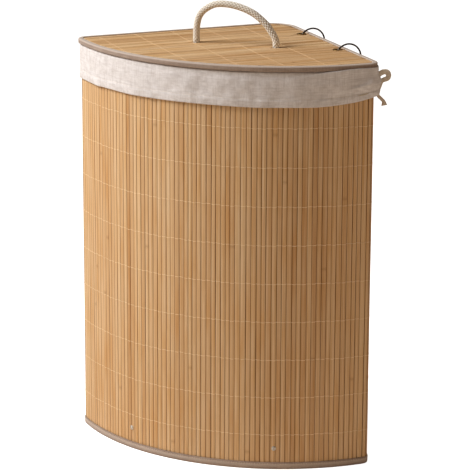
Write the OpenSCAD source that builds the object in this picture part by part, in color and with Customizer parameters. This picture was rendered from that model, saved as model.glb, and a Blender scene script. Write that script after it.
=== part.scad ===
// Corner laundry hamper with a ring-hinged lid and a folded cotton liner.
// The plan is a quarter round: two straight walls at a right angle and a bowed front.
// Origin: the centre of the bowed front's arc, on the floor. +Z is up.
// The straight walls face +X (the hinge side) and +Y (the left side).

/* [Plan] */
// Length of each straight wall, from the room's corner to the tip
leg = 358; // [320:1:380]
// Radius of the two tips, where the bowed front meets a straight wall
tip_r = 14; // [12:1:24]
// Radius of the back corner
corner_r = 40; // [26:1:60]

/* [Height] */
// Height of the lid's top above the floor
height = 650; // [600:5:700]
// How far the folded cuff hangs down outside the wall
cuff_drop = 55; // [50:1:60]
// Height of the drawstring casing along the cuff's lower edge
hem_h = 13; // [11:1:16]

/* [Bamboo mat] */
// Distance from one upright slat to the next
slat_pitch = 8; // [7:0.5:10]
// Widest a slat may be
slat_w = 7.2; // [5.5:0.1:7.2]
// Thickness of an upright slat
slat_t = 2.2; // [1.6:0.1:2.4]
// Number of thread rows that bind the slats
thread_rows = 9; // [6:1:10]

/* [Lid] */
// How far the lid overhangs the bamboo mat
lid_over = 5; // [4.5:0.5:8]
// Thickness of the lid's core board
lid_board_t = 4; // [3.5:0.1:4.2]
// Height of the rope handle's arch, as a share of its usual height
handle_lift = 1; // [0.8:0.05:1.1]

/* [Hinge rings] */
// Radius of a ring's wire centre line
ring_r = 22; // [22:0.1:22.4]
// Diameter of the ring's wire
ring_wire = 2.8; // [2.2:0.1:3]

/* [Hidden] */
$fn = 96;

bamboo = "#cfa66f";
cotton = "#e4dad2";
taupe = "#8f7f6e";
rope_cream = "#e9e0c8";
steel = "#8a8a8c";
brass = "#b08d4a";
fibreboard = "#b89468";

// Plan: every offset is measured outward from the mat's outer face
front_r = leg - tip_r;
tip_x = front_r - tip_r;
corner_c = tip_r - corner_r;
run = leg - tip_r - corner_r;
layer_gap = 0.1;

// Wall layers, from the mat inward
mat_in = -slat_t;
backing_t = 1.2;
backing_in = mat_in - layer_gap - backing_t;
hoop_d = 3;
hoop_off = backing_in - 0.3 - hoop_d / 2;
tape_t = 0.8;
tape_in = hoop_off - hoop_d / 2 - layer_gap - tape_t;
tape_out = 0.5 + tape_t;
tape_bottom = 12;
tape_top = 17.5;
liner_t = 1;
liner_out = tape_in - 0.3;
liner_in = liner_out - liner_t;

// Lid layers, from the top down
lid_tape = 0.9;
lid_slat_t = 1.6;
lid_thread_t = 0.5;
lining_t = 0.6;
lid_slat_top = height - lid_tape - layer_gap;
lid_board_top = lid_slat_top - lid_slat_t - layer_gap;
lining_top = lid_board_top - lid_board_t - layer_gap;
lid_bottom = lining_top - lining_t - layer_gap - lid_tape;
lid_in = lid_over - lid_tape - layer_gap;
lid_flange = 8;
lid_thread_pitch = 62;
lid_thread_first = 16;

// Levels of the wall and the liner
rim_z = lid_bottom - 0.6;
mat_top = rim_z - liner_t - tape_t - 3 * layer_gap;
mat_base = tape_t + layer_gap;
mat_h = mat_top - mat_base;
hoop_inset = 4.5;
cuff_in = tape_out + 0.7;
cuff_z = rim_z - cuff_drop;
skirt_z = cuff_z + hem_h + layer_gap;
hem_t = 3.4;
cord_t = 1.2;
cord_w = 6;

// Threads over the mat
thread_h = 1.4;
thread_t = 0.6;
thread_first = 57.5;
thread_last = cuff_z - 33.5;
thread_step = (thread_last - thread_first) / (thread_rows - 1);

// Base board on riveted angle brackets
rivet_z = 35;
rivet_r = 1.9;
rivet_head_r = 3.8;
rivet_hole_r = rivet_r + layer_gap;
rivet_spread = 21;
bracket_w = 16;
bracket_t = 1.2;
bracket_h = 24;
bracket_reach = 16;
board_z = 23.3;
board_t = 4;
board_gap = 0.3;
liner_z = board_z + board_t + 0.5;
bracket_z = board_z - layer_gap - bracket_t;
bracket_off = backing_in - 0.2;

// Hinge: rings about one axis, below the lid's outer edge
axis_x = tip_r + lid_over;
axis_z = height - 15;
ring_back_y = -88;
ring_front_y = -227;
hole_inset = 18.5;
eyelet_r = 4.5;
eyelet_t = 0.8;
eyelet_flange = 8;
flange_t = 0.6;
wall_hole_z = axis_z - 21;
wall_eyelet_flange = 7.5;
cuff_hole_r = 6;

// Rope handle: the pivots lie on a line almost square to the plan's line of symmetry
handle_turn = 4.6;
rope_r = 5;
handle_reach = 187;
handle_span = 132;
pivot_h = 8;
rope_hole_r = 5.5;
knot_r = 11;
knot_h = 14;
knot_tail = 12;
// Distance along the span and height above the lid's top
handle_route = [
    [0, 8], [0, 18], [1, 29], [4, 40], [10, 49], [19, 56], [29, 61], [39, 63], [50, 63],
    [60, 62], [70, 60], [80, 57], [90, 53], [99, 48], [108, 41], [116, 34], [123, 25], [129, 16],
    [132, 8]
];

// Drawstring bow at the hinge-side tip
bow_at = [30, -307, 596];
bow_r = 2;
bow_knot_r = 6.5;
bow_lead_gap = 2.5;
bow_out = [0.92, -0.38, 0];
bow_side = [0.38, 0.92, 0];
bow_wall = [-0.25, 0.97, 0];
// Distance outward from the knot and height above it
loop_front_route = [
    [0.4, 7.3], [-1, 14], [-0.6, 20], [3.4, 26], [8.7, 30.2], [13.9, 31.5], [17.7, 29.9], [19.3, 25.5],
    [17.4, 21], [12.4, 19], [8.4, 16.6], [6.6, 11.8], [5.2, 6]
];
tail_front_route = [[3.6, -6.2], [8, -10.8], [12.2, -15.4], [13.6, -21.5]];
// Distance along the wall from the knot and height above it
loop_back_route = [
    [5.5, 4.6], [11, 9], [17, 11], [23, 9], [27, 4], [28, -2], [24, -7], [18, -7], [12, -4], [7.8, -1]
];
// Distance from the knot towards the back of the hinge-side wall, and height above it
tail_back_route = [
    [5.2, -5.2], [10, -7.6], [15, -9.4], [18.6, -13.6], [20, -20], [20.4, -28], [20.7, -36], [21, -44]
];

// ---- Plan outline: pieces of a closed band with a given cross-section ----

module front_arc() {
    rotate(180) rotate_extrude(angle = 90) translate([front_r, 0]) children();
}

module tip_arcs() {
    translate([-tip_x, 0, 0]) rotate(90) rotate_extrude(angle = 90) translate([tip_r, 0]) children();
    translate([0, -tip_x, 0]) rotate(270) rotate_extrude(angle = 90) translate([tip_r, 0]) children();
}

module left_run() {
    translate([-tip_x, tip_r, 0]) rotate([90, 0, 90]) linear_extrude(run) children();
}

module right_run() {
    translate([tip_r, corner_c, 0]) rotate([90, 0, 0]) linear_extrude(run) children();
}

module corner_arc() {
    translate([corner_c, corner_c, 0]) rotate_extrude(angle = 90) translate([corner_r, 0]) children();
}

module all_round() {
    front_arc() children();
    tip_arcs() children();
    left_run() children();
    right_run() children();
    corner_arc() children();
}

// Filled plan, grown outward by off
module plan(off) {
    reach = front_r + off;
    for (side = [[reach + corner_c, reach], [reach, reach + corner_c]]) intersection() {
        circle(reach);
        translate([-reach, -reach]) square(side);
    }
    translate([-tip_x, 0]) circle(tip_r + off);
    translate([0, -tip_x]) circle(tip_r + off);
    translate([-tip_x, 0]) square([run, tip_r + off]);
    translate([0, -tip_x]) square([tip_r + off, run]);
    translate([corner_c, corner_c]) circle(corner_r + off);
}

module plate(off, z, t) {
    translate([0, 0, z]) linear_extrude(t) plan(off);
}

// ---- Places that repeat ----

module at_rings() {
    for (y = [ring_back_y, ring_front_y]) translate([0, y, 0]) children();
}

// The child's +X points outward through the wall
module at_rivets() {
    for (a = [225 - rivet_spread, 225 + rivet_spread]) rotate(a) translate([front_r, 0, rivet_z]) children();
    translate([tip_r, -tip_x / 2, rivet_z]) children();
    translate([-tip_x / 2, tip_r, rivet_z]) rotate(90) children();
}

module at_handle_holes() {
    rotate(225) translate([handle_reach, 0, 0]) rotate(handle_turn)
        for (s = [-1, 1]) translate([0, s * handle_span / 2, 0]) children();
}

module rivet_holes() {
    at_rivets() translate([-8, 0, 0]) rotate([0, 90, 0]) cylinder(h = 16, r = rivet_hole_r);
}

module wall_holes(r, depth) {
    at_rings() translate([tip_r - depth, 0, wall_hole_z]) rotate([0, 90, 0]) cylinder(h = 2 * depth, r = r);
}

module lid_holes() {
    at_rings() translate([axis_x - hole_inset, 0, lid_bottom - 10])
        cylinder(h = 30, r = eyelet_r + eyelet_t + layer_gap);
    at_handle_holes() translate([0, 0, lid_bottom - 10]) cylinder(h = 30, r = rope_hole_r);
}

// ---- Bamboo mat ----

module slat(w) {
    translate([-slat_t, -w / 2, mat_base]) cube([slat_t, w, mat_h]);
}

// Flat slats side by side round a quarter circle
module slat_quarter(at, r, start) {
    count = round(r * PI / 2 / slat_pitch);
    w = min(slat_w, 2 * (r - slat_t) * tan(45 / count) - 0.4);
    for (i = [0:count - 1])
        translate(at) rotate(start + (i + 0.5) * 90 / count) translate([r, 0, 0]) slat(w);
}

module slat_run() {
    count = round(run / slat_pitch);
    for (i = [0:count - 1]) translate([0, -(i + 0.5) * run / count, 0]) slat(min(slat_w, run / count - 0.4));
}

module wall_slats_front() {
    color(bamboo) difference() {
        union() {
            slat_quarter([0, 0, 0], front_r, 180);
            slat_quarter([-tip_x, 0, 0], tip_r, 90);
            slat_quarter([0, -tip_x, 0], tip_r, 270);
        }
        rivet_holes();
    }
}

module wall_slats_left() {
    color(bamboo) difference() {
        translate([-tip_x, tip_r, 0]) rotate(90) slat_run();
        rivet_holes();
    }
}

module wall_slats_right() {
    color(bamboo) difference() {
        translate([tip_r, corner_c, 0]) slat_run();
        rivet_holes();
        wall_holes(eyelet_r + eyelet_t + layer_gap, 6);
    }
}

module wall_slats_corner() {
    color(bamboo) slat_quarter([corner_c, corner_c, 0], corner_r, 0);
}

module backing_profile() {
    translate([backing_in, mat_base]) square([backing_t, mat_h]);
}

module wall_backing_front() {
    color(cotton) difference() {
        union() {
            front_arc() backing_profile();
            tip_arcs() backing_profile();
        }
        rivet_holes();
    }
}

module wall_backing_left() {
    color(cotton) difference() {
        left_run() backing_profile();
        rivet_holes();
    }
}

module wall_backing_right() {
    color(cotton) difference() {
        right_run() backing_profile();
        rivet_holes();
        wall_holes(eyelet_r + eyelet_t + layer_gap, 6);
    }
}

module wall_backing_corner() {
    color(cotton) corner_arc() backing_profile();
}

module wall_threads() {
    color(rope_cream) for (i = [0:thread_rows - 1])
        all_round() translate([0.4, thread_first + i * thread_step - thread_h / 2])
            square([thread_t, thread_h]);
}

// Tape that joins the mat's two ends, inside the back corner
module seam_tape() {
    color(taupe) corner_arc() translate([backing_in - layer_gap - tape_t, tape_bottom + 4])
        square([tape_t, mat_h - 40]);
}

// ---- Hoops and edge bindings ----

module rim_hoop() {
    color(steel) all_round() translate([hoop_off, mat_top - hoop_inset]) circle(d = hoop_d, $fn = 32);
}

module base_hoop() {
    color(steel) all_round() translate([hoop_off, mat_base + hoop_inset]) circle(d = hoop_d, $fn = 32);
}

// U section of a folded tape, open upward
module tape_fold(h) {
    difference() {
        translate([tape_in, 0]) square([tape_out - tape_in, h]);
        translate([tape_in + tape_t, tape_t]) square([tape_out - tape_in - 2 * tape_t, h]);
    }
}

module rim_binding() {
    color(taupe) all_round() translate([0, mat_top + layer_gap + tape_t]) mirror([0, 1]) tape_fold(tape_top);
}

module base_binding() {
    color(taupe) all_round() tape_fold(tape_bottom);
}

// ---- Base ----

module base_board() {
    color(fibreboard) plate(bracket_off - bracket_t - board_gap, board_z, board_t);
}

// Angle bracket: one leg up the wall behind the rivet, one leg under the board
module base_brackets() {
    color(steel) difference() {
        at_rivets() translate([bracket_off, -bracket_w / 2, bracket_z - rivet_z]) {
            translate([-bracket_t, 0, 0]) cube([bracket_t, bracket_w, bracket_h]);
            translate([-bracket_reach, 0, 0]) cube([bracket_reach, bracket_w, bracket_t]);
        }
        rivet_holes();
    }
}

module base_rivets() {
    inner = bracket_off - bracket_t - layer_gap;
    head_t = 1.4;
    color(steel) at_rivets() rotate([0, 90, 0]) {
        translate([0, 0, inner]) cylinder(h = layer_gap - inner, r = rivet_r);
        translate([0, 0, inner - 1]) cylinder(h = 1, r = rivet_head_r - 0.6);
        translate([0, 0, layer_gap]) cylinder(h = head_t, r1 = rivet_head_r, r2 = rivet_head_r - 1.2);
    }
}

// ---- Cotton liner ----

module liner_sides() {
    color(cotton) difference() {
        all_round() translate([liner_in, liner_z]) square([liner_t, rim_z - liner_z]);
        wall_holes(cuff_hole_r, 4 - liner_in);
    }
}

module liner_bottom() {
    color(cotton) plate(liner_in - layer_gap, liner_z, liner_t);
}

// Top fold over the rim and the skirt outside the wall, down to the casing
module liner_cuff() {
    color(cotton) difference() {
        all_round() {
            translate([liner_out + layer_gap, rim_z - liner_t]) square([cuff_in - liner_out, liner_t]);
            translate([cuff_in, skirt_z]) square([liner_t, rim_z - skirt_z]);
        }
        wall_holes(cuff_hole_r, cuff_in + liner_t + 2);
    }
}

// Hollow casing that the drawstring runs in
module liner_hem() {
    color(cotton) all_round() difference() {
        translate([cuff_in, cuff_z]) square([hem_t, hem_h]);
        translate([cuff_in + liner_t, cuff_z + liner_t]) square([hem_t - 2 * liner_t, hem_h - 2 * liner_t]);
    }
}

module drawstring() {
    color(taupe) all_round() translate([cuff_in + (hem_t - cord_t) / 2, cuff_z + (hem_h - cord_w) / 2])
        square([cord_t, cord_w]);
}

// ---- Tubes swept along a route ----

// Smooth curve through a list of points, with extra points between them
function between(a, b, c, d, t) =
    0.5 * ((2 * b) + (c - a) * t + (2 * a - 5 * b + 4 * c - d) * t * t + (3 * b - a - 3 * c + d) * t * t * t);
function smooth(p, extra) = let (n = len(p)) concat(
    [for (i = [0:n - 2], k = [0:extra])
        between(p[max(i - 1, 0)], p[i], p[i + 1], p[min(i + 2, n - 1)], k / (extra + 1))],
    [p[n - 1]]
);
function unit(v) = v / norm(v);
function heading(p, i) = unit(p[min(i + 1, len(p) - 1)] - p[max(i - 1, 0)]);

// The route lies in one plane, whose normal is given
module tube(route, normal, r, sides) {
    n = len(route);
    points = [for (i = [0:n - 1], k = [0:sides - 1])
        let (a = 360 * k / sides, side = cross(heading(route, i), normal))
        route[i] + r * cos(a) * normal + r * sin(a) * side];
    skin = [for (i = [0:n - 2], k = [0:sides - 1])
        let (k2 = (k + 1) % sides)
        [i * sides + k, i * sides + k2, (i + 1) * sides + k2, (i + 1) * sides + k]];
    ends = [[for (k = [sides - 1:-1:0]) k], [for (k = [0:sides - 1]) (n - 1) * sides + k]];
    polyhedron(points, concat(skin, ends), convexity = 6);
}

// ---- Drawstring bow ----

function bow_points(route, along) =
    [for (p = smooth(route, 1)) bow_at + p[0] * along + [0, 0, p[1]]];

// Knot with the two leads that come straight out of the casing
module bow_knot() {
    casing = tip_r + cuff_in + hem_t + layer_gap;
    color(taupe) {
        translate(bow_at) sphere(bow_knot_r, $fn = 32);
        for (s = [-1, 1]) translate([casing, bow_at[1] + s * bow_lead_gap, cuff_z + hem_h / 2])
            rotate([0, 90, 0]) cylinder(h = bow_at[0] - casing - 1, r = bow_r, $fn = 32);
    }
}

module bow_loop_front() {
    color(taupe) tube(bow_points(loop_front_route, bow_out), bow_side, bow_r, 8);
}

module bow_loop_back() {
    color(taupe) tube(bow_points(loop_back_route, bow_side), -bow_out, bow_r, 8);
}

module bow_tail_front() {
    color(taupe) tube(bow_points(tail_front_route, bow_out), bow_side, bow_r, 8);
}

module bow_tail_back() {
    color(taupe) tube(bow_points(tail_back_route, bow_wall), -bow_out, bow_r, 8);
}

// ---- Lid ----

module lid_board() {
    color(fibreboard) difference() {
        plate(lid_in, lid_board_top - lid_board_t, lid_board_t);
        lid_holes();
    }
}

// Slats laid parallel to the left wall
module lid_slats() {
    count = ceil((leg + 2 * lid_in) / slat_pitch);
    color(bamboo) difference() {
        plate(lid_in, lid_slat_top - lid_slat_t, lid_slat_t);
        for (i = [1:count - 1])
            translate([-leg, tip_r + lid_in - i * slat_pitch, lid_slat_top - 2 * lid_slat_t])
                cube([2 * leg, slat_pitch - slat_w, 3 * lid_slat_t]);
        lid_holes();
    }
}

module lid_threads() {
    count = floor(tip_x / lid_thread_pitch);
    color(rope_cream) difference() {
        for (i = [0:count - 1])
            translate([0, 0, lid_slat_top + layer_gap]) linear_extrude(lid_thread_t) intersection() {
                plan(lid_in - lid_flange);
                translate([lid_thread_first + lid_thread_pitch * i - tip_x, -leg])
                    square([thread_h, 2 * leg]);
            }
        lid_holes();
    }
}

module lid_lining() {
    color(cotton) difference() {
        plate(lid_in, lining_top - lining_t, lining_t);
        lid_holes();
    }
}

// C section of the tape folded round the lid's edge
module lid_binding() {
    color(taupe) all_round() difference() {
        translate([lid_over - lid_flange, lid_bottom]) square([lid_flange, height - lid_bottom]);
        translate([lid_over - lid_flange - 1, lid_bottom + lid_tape])
            square([lid_flange + 1 - lid_tape, height - lid_bottom - 2 * lid_tape]);
    }
}

// ---- Eyelets and rings ----

// Rolled eyelet about +Z, gripping from z = 0 up to grip
module eyelet(grip, flange) {
    difference() {
        union() {
            translate([0, 0, -flange_t]) cylinder(h = grip + 2 * flange_t, r = eyelet_r + eyelet_t);
            translate([0, 0, -flange_t]) cylinder(h = flange_t, r = flange);
            translate([0, 0, grip]) cylinder(h = flange_t, r = flange);
        }
        translate([0, 0, -2]) cylinder(h = grip + 4, r = eyelet_r);
    }
}

module lid_eyelets() {
    foot = lining_top - lining_t - layer_gap;
    color(brass) at_rings() translate([axis_x - hole_inset, 0, foot])
        eyelet(lid_slat_top + layer_gap - foot, eyelet_flange);
}

module wall_eyelets() {
    inner = backing_in - layer_gap;
    color(brass) at_rings() translate([tip_r + inner, 0, wall_hole_z]) rotate([0, 90, 0])
        eyelet(layer_gap - inner, wall_eyelet_flange);
}

module hinge_ring(y) {
    color(steel) translate([axis_x, y, axis_z]) rotate([90, 0, 0])
        rotate_extrude() translate([ring_r, 0]) circle(d = ring_wire, $fn = 32);
}

module hinge_ring_back() {
    hinge_ring(ring_back_y);
}

module hinge_ring_front() {
    hinge_ring(ring_front_y);
}

// ---- Rope handle ----

handle_middle = handle_reach * [cos(225), sin(225), 0];
handle_along = [cos(handle_turn - 45), sin(handle_turn - 45), 0];
handle_out = [cos(handle_turn + 45), sin(handle_turn + 45), 0];
handle_start = handle_middle - handle_span / 2 * handle_along;

module handle_rope() {
    lifted = [for (p = handle_route) [p[0], pivot_h + (p[1] - pivot_h) * handle_lift]];
    path = [for (p = smooth(lifted, 1)) handle_start + p[0] * handle_along + [0, 0, height + p[1]]];
    color(rope_cream) tube(path, handle_out, rope_r, 12);
}

// The rope where it passes through the lid
module handle_rope_ends() {
    color(rope_cream) at_handle_holes() translate([0, 0, lid_bottom - layer_gap])
        cylinder(h = height + pivot_h - rope_r - 0.4 - lid_bottom + layer_gap, r = rope_r);
}

// Stopper knots under the lid, each with the rope's short end below it
module handle_knots() {
    top = lid_bottom - 2 * layer_gap;
    color(rope_cream) at_handle_holes() translate([0, 0, top - knot_h / 2]) {
        rotate_extrude() {
            translate([0, -knot_h / 2]) square([knot_r - knot_h / 2, knot_h]);
            intersection() {
                translate([knot_r - knot_h / 2, 0]) circle(knot_h / 2);
                translate([0, -knot_h / 2]) square([knot_r, knot_h]);
            }
        }
        translate([0, 0, -knot_h / 2 - knot_tail]) cylinder(h = knot_tail + 1, r = rope_r);
    }
}

wall_slats_front();
wall_slats_left();
wall_slats_right();
wall_slats_corner();
wall_backing_front();
wall_backing_left();
wall_backing_right();
wall_backing_corner();
wall_threads();
seam_tape();
rim_hoop();
base_hoop();
rim_binding();
base_binding();
base_board();
base_brackets();
base_rivets();
wall_eyelets();
liner_sides();
liner_bottom();
liner_cuff();
liner_hem();
drawstring();
bow_knot();
bow_loop_front();
bow_loop_back();
bow_tail_front();
bow_tail_back();
lid_board();
lid_slats();
lid_threads();
lid_lining();
lid_binding();
lid_eyelets();
handle_rope();
handle_rope_ends();
handle_knots();
hinge_ring_back();
hinge_ring_front();
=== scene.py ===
"""Looks of a corner laundry hamper: bamboo wall and lid, folded cotton liner, rope handle, ring hinge."""

import math
import random

import bmesh
import bpy
import numpy as np
from mathutils import Matrix, Vector
from mathutils.kdtree import KDTree


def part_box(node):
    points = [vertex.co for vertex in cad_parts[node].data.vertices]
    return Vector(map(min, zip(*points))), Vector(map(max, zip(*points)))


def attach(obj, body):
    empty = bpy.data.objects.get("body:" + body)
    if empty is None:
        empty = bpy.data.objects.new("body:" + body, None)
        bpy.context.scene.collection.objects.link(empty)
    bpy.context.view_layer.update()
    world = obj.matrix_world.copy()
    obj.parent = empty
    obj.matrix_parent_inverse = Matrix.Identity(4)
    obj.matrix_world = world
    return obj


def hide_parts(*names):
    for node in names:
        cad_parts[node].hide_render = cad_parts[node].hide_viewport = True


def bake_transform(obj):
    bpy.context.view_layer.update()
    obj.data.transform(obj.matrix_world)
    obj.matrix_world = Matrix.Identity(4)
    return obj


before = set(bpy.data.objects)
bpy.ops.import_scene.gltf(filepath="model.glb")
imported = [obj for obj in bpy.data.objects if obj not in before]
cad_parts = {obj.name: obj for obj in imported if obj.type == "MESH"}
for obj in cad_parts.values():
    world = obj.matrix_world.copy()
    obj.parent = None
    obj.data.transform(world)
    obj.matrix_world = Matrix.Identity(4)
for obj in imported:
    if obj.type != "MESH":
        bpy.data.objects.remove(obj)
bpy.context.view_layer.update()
MM = 0.001
TAU = 2 * math.pi
UP = (0.0, 0.0, 1.0)


# ---- Sizes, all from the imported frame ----

def low(node):
    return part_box(node)[0]


def high(node):
    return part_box(node)[1]


THREAD_OUT = 1.0 * MM
TIP_R = high("wall_threads").x - THREAD_OUT
FRONT_R = -low("wall_threads").x - THREAD_OUT
TIP_X = FRONT_R - TIP_R
CORNER_C = low("wall_backing_corner").x
CORNER_R = TIP_R - CORNER_C
RUN = TIP_X + CORNER_C
LID_TOP, LID_BASE = high("lid_binding").z, low("lid_binding").z
LID_OVER = high("lid_binding").x - TIP_R
RIM_Z = high("liner_cuff").z
HEM_Z, HEM_TOP = low("liner_hem").z, high("liner_hem").z
MAT_BASE, MAT_TOP = low("wall_slats_left").z, high("wall_slats_left").z


# ---- Camera ----

CAMERA_PLACE, CAMERA_TARGET = (-1.6451, -3.7959, 1.4323), (-0.2402, -0.3928, 0.4151)
CAMERA_LENS, CAMERA_ROLL = 195.36, math.radians(0.27)


def add_object(name, data):
    obj = bpy.data.objects.new(name, data)
    bpy.context.scene.collection.objects.link(obj)
    return obj


def aim(obj, place, target, roll=0.0):
    """Points obj's -Z at target, with a turn about that line."""
    obj.location = place
    look = (Vector(target) - Vector(place)).to_track_quat("-Z", "Y").to_matrix().to_4x4()
    obj.rotation_euler = (look @ Matrix.Rotation(roll, 4, "Z")).to_euler()


camera = add_object("camera", bpy.data.cameras.new("camera"))
camera.data.sensor_width = 36.0
camera.data.lens = CAMERA_LENS
camera.data.clip_end = 50.0
aim(camera, CAMERA_PLACE, CAMERA_TARGET, CAMERA_ROLL)
bpy.context.scene.camera = camera


# ---- Plan outline: place and outward normal at a distance s along the mat's face ----

QUARTER = math.pi / 2
LENGTHS = [QUARTER * FRONT_R, QUARTER * TIP_R, RUN, QUARTER * CORNER_R, RUN, QUARTER * TIP_R]
STARTS = np.concatenate([[0.0], np.cumsum(LENGTHS)])
AROUND = float(STARTS[-1])
ARCS = {0: ((0, 0), FRONT_R, math.pi), 1: ((0, -TIP_X), TIP_R, 1.5 * math.pi),
        3: ((CORNER_C, CORNER_C), CORNER_R, 0.0), 5: ((-TIP_X, 0), TIP_R, QUARTER)}
LINES = {2: ((TIP_R, -TIP_X), (0, 1), (1, 0)), 4: ((CORNER_C, TIP_R), (-1, 0), (0, 1))}


def outline(s):
    """(points, normals) for an array of distances along the outline."""
    s = np.mod(np.asarray(s, float), AROUND)
    part = np.clip(np.searchsorted(STARTS, s, side="right") - 1, 0, 5)
    p, n = np.zeros(s.shape + (2,)), np.zeros(s.shape + (2,))
    for k in range(6):
        m = part == k
        t = s[m] - STARTS[k]
        if k in ARCS:
            centre, r, first = ARCS[k]
            a = first + t / r
            n[m] = np.stack([np.cos(a), np.sin(a)], -1)
            p[m] = np.array(centre) + r * n[m]
        else:
            start, along, normal = LINES[k]
            p[m] = np.array(start) + t[:, None] * np.array(along)
            n[m] = normal
    return p, n


def around(count):
    return np.arange(count) * AROUND / count


def swept(s, off, z):
    """Grid of points: off and z are arrays that broadcast to (len(s), profile)."""
    p, n = outline(s)
    off, z = np.broadcast_arrays(off, z)
    off = np.broadcast_to(off, (len(s), off.shape[-1]))
    z = np.broadcast_to(z, off.shape)
    flat = p[:, None, :] + off[:, :, None] * n[:, None, :]
    return np.concatenate([flat, z[:, :, None]], -1)


# ---- Mesh making ----

def travelled(points):
    """Distance along a line at each of its points."""
    return np.concatenate([[0], np.cumsum(np.linalg.norm(np.diff(points, axis=0), axis=1))])


def triples(a, b, c=0.0):
    """Rows of three, from values that broadcast together."""
    return np.stack(np.broadcast_arrays(a, b, c), -1).reshape(-1, 3)


def level(normals):
    """The outline's normals as directions in space."""
    return np.pad(normals, ((0, 0), (0, 1)))


def piece(name, verts, faces):
    mesh = bpy.data.meshes.new(name)
    mesh.from_pydata(np.asarray(verts, float).reshape(-1, 3).tolist(), [], faces)
    mesh.update()
    mesh.polygons.foreach_set("use_smooth", [True] * len(mesh.polygons))
    return add_object(name, mesh)


def grid_faces(nu, nv, wrap_u, wrap_v, first=0):
    i = np.arange(nu if wrap_u else nu - 1)
    j = np.arange(nv if wrap_v else nv - 1)
    i, j = [a.ravel() for a in np.meshgrid(i, j, indexing="ij")]
    i2, j2 = (i + 1) % nu, (j + 1) % nv
    return (first + np.stack([i * nv + j, i2 * nv + j, i2 * nv + j2, i * nv + j2], -1)).tolist()


def grid(name, points, wrap_u=True, wrap_v=False):
    nu, nv = points.shape[:2]
    obj = piece(name, points, grid_faces(nu, nv, wrap_u, wrap_v))
    if wrap_u and wrap_v:
        outward(obj)
    return obj


def outward(obj):
    bm = bmesh.new()
    bm.from_mesh(obj.data)
    bmesh.ops.recalc_face_normals(bm, faces=bm.faces)
    bm.to_mesh(obj.data)
    bm.free()


def spread(obj, name, values):
    """Stores a value or vector per vertex for the materials to read."""
    values = np.asarray(values, np.float32)
    kind = "FLOAT" if values.ndim == 1 else "FLOAT_VECTOR"
    layer = obj.data.attributes.new(name, kind, "POINT")
    layer.data.foreach_set("value" if values.ndim == 1 else "vector", values.ravel())


def modify(obj, kind, **settings):
    """Adds a modifier and applies it."""
    mod = obj.modifiers.new(kind, kind)
    for key, value in settings.items():
        setattr(mod, key, value)
    bpy.context.view_layer.update()
    made = bpy.data.meshes.new_from_object(obj.evaluated_get(bpy.context.evaluated_depsgraph_get()))
    obj.modifiers.clear()
    old, obj.data = obj.data, made
    made.name = obj.name
    bpy.data.meshes.remove(old)


def drill(obj, places, axis, radius, depth=20 * MM):
    """Cuts round holes through obj. The cut can lose uvw, so each point takes its nearest old point's."""
    kept = obj.data.attributes["uvw"].data
    near = KDTree(len(kept))
    for k, vert in enumerate(obj.data.vertices):
        near.insert(vert.co, k)
    near.balance()
    values = np.zeros(len(kept) * 3, np.float32)
    kept.foreach_get("vector", values)
    values = values.reshape(-1, 3)
    bm = bmesh.new()
    turn = Vector((0, 0, 1)).rotation_difference(Vector(axis)).to_matrix().to_4x4()
    for c in places:
        bmesh.ops.create_cone(bm, cap_ends=True, segments=32, radius1=radius, radius2=radius,
                              depth=depth, matrix=Matrix.Translation(c) @ turn)
    mesh = bpy.data.meshes.new("cutter")
    bm.to_mesh(mesh)
    bm.free()
    cutter = add_object("cutter", mesh)
    modify(obj, "BOOLEAN", object=cutter, operation="DIFFERENCE", solver="EXACT")
    bpy.data.objects.remove(cutter)
    if "uvw" in obj.data.attributes:
        obj.data.attributes.remove(obj.data.attributes["uvw"])
    spread(obj, "uvw", values[[near.find(vert.co)[1] for vert in obj.data.vertices]])


def waves(u, v, seed, count, length, amp, lean=(0.0, math.pi)):
    """Sum of seeded sine waves over the surface; length is the range of wavelengths in metres."""
    rng = random.Random(seed)
    total = np.zeros(np.broadcast(u, v).shape)
    for _ in range(count):
        k = TAU / rng.uniform(*length)
        a = rng.uniform(*lean)
        total = total + np.sin(k * (math.cos(a) * u + math.sin(a) * v) + rng.uniform(0, TAU))
    return total * amp / math.sqrt(count)


def smoothed(points, extra):
    """Catmull-Rom curve through points, with extra points between each pair."""
    p = np.asarray(points, float)
    ends = np.concatenate([[2 * p[0] - p[1]], p, [2 * p[-1] - p[-2]]])
    made = []
    for a, b, c, d in zip(ends, ends[1:], ends[2:], ends[3:]):
        for k in range(extra + 1):
            t = k / (extra + 1)
            made.append(0.5 * (2 * b + (c - a) * t + (2 * a - 5 * b + 4 * c - d) * t ** 2
                               + (3 * b - a - 3 * c + d) * t ** 3))
    return np.array(made + [p[-1]])


def even(points, step):
    """The same line with points at an even step."""
    p = np.asarray(points, float)
    along = travelled(p)
    t = np.linspace(0, along[-1], max(3, int(round(along[-1] / step)) + 1))
    return np.stack([np.interp(t, along, p[:, k]) for k in range(3)], -1), t


def frames(line, side, fixed=False):
    """Two directions square to the line at each point; side is carried along it, or stays fixed."""
    t = np.gradient(line, axis=0)
    t /= np.linalg.norm(t, axis=1)[:, None]
    a, made = np.asarray(side, float), []
    for d in t:
        a = np.asarray(side, float) if fixed else a
        a = a - d * np.dot(a, d)
        a /= np.linalg.norm(a)
        made.append(a)
    a = np.array(made)
    return a, np.cross(t, a)


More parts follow.
